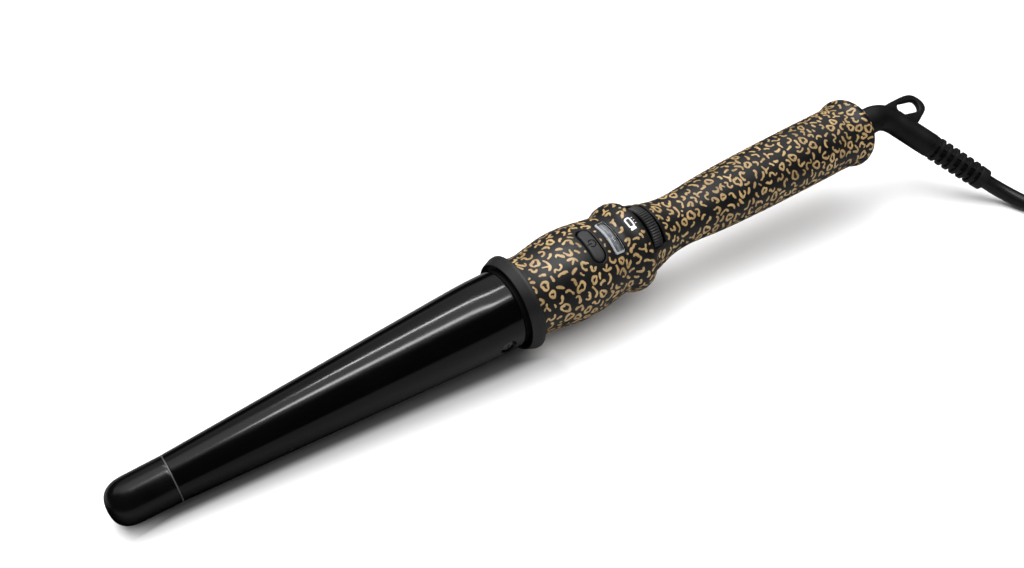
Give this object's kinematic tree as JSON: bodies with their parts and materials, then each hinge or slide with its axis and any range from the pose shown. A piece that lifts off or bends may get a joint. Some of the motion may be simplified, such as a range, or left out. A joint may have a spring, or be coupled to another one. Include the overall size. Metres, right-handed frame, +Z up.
{
  "type": "curling wand",
  "caption": "Conical curling wand with cool tip, heat guard collar, printed two-shell handle, key, display window, dial and swivelling cord outlet with hanging loop",
  "frame": {"origin": "on the surface the wand rests on, under the middle of the wand's box without its free cord", "axes": "+X from the tip towards the handle along the level run of the barrel, +Z up, the key and dial roll towards -Y"},
  "size_m": [0.6194, 0.1087, 0.0502],
  "materials": {
    "barrel_ceramic": "glossy",
    "tip_plastic": "satin",
    "collar_plastic": "matt",
    "shell_print": "soft touch, printed",
    "key_plastic": "matt",
    "window_clear": "clear, glossy",
    "dial_plastic": "satin, knurled",
    "swivel_plastic": "satin",
    "relief_rubber": "matt",
    "cord_pvc": "satin",
    "steel": "brushed",
    "brass": "satin",
    "aluminium": "satin",
    "phenolic": "matt",
    "pcb_green": "satin",
    "component_black": "matt",
    "heater_ceramic": "matt",
    "mica": "satin",
    "lead_insulation": "satin",
    "display_grey": "glossy"
  },
  "bodies": {
    "handle": {"barrel": "barrel_ceramic", "cool_tip": "tip_plastic", "tip_fixing_rivet": "steel", "barrel_mount_bush": "phenolic", "barrel_screw_a": "steel", "barrel_screw_b": "steel", "heater_jaw_upper": "aluminium", "heater_jaw_lower": "aluminium", "ptc_heater": "heater_ceramic", "mica_sheet_upper": "mica", "mica_sheet_lower": "mica", "thermistor": "component_black", "thermal_fuse": "steel", "heat_guard_collar": "collar_plastic", "handle_shell_upper": "shell_print", "handle_shell_lower": "shell_print", "handle_screw_a": "steel", "handle_screw_b": "steel", "tact_switch": "component_black", "display_window": "window_clear", "display_module": "display_grey", "circuit_board": "pcb_green", "triac": "component_black", "suppression_capacitor": "component_black", "controller_chip": "component_black", "potentiometer": "component_black", "brush_live": "brass", "brush_neutral": "brass", "lead_live": "lead_insulation", "lead_neutral": "lead_insulation", "heater_lead_a": "lead_insulation", "heater_lead_b": "lead_insulation"},
    "power_key": {"power_key": "key_plastic", "key_plunger": "component_black"},
    "temperature_dial": {"temperature_dial": "dial_plastic", "potentiometer_shaft": "steel"},
    "cord_swivel": {"swivel_spindle": "swivel_plastic", "slip_ring_live": "brass", "slip_ring_neutral": "brass", "retaining_clip": "steel", "elbow_housing": "swivel_plastic", "strain_relief": "relief_rubber", "cord_lead": "cord_pvc", "cord_coil": "cord_pvc", "cord_tail": "cord_pvc", "cord_tie": "relief_rubber", "plug_body": "cord_pvc", "plug_pin_live": "brass", "plug_pin_neutral": "brass"}
  },
  "joints": [
    {"name": "power_key_press", "type": "slide", "parent": "handle", "child": "power_key", "axis": [0.0694, 0.3827, -0.9213], "range_m": [0, 0.0007], "stiffness_N_per_m": 900, "springref_m": -0.0008},
    {"name": "temperature_dial_turn", "type": "hinge", "parent": "handle", "child": "temperature_dial", "pos_m": [0.01902, 0.01083, 0.02847], "axis": [0.9972, 0, 0.0752], "range_deg": [-135, 135]},
    {"name": "cord_swivel_turn", "type": "hinge", "parent": "handle", "child": "cord_swivel", "pos_m": [0.14743, 0.01236, 0.03444], "axis": [0.9972, 0, 0.0752], "continuous": true}
  ]
}
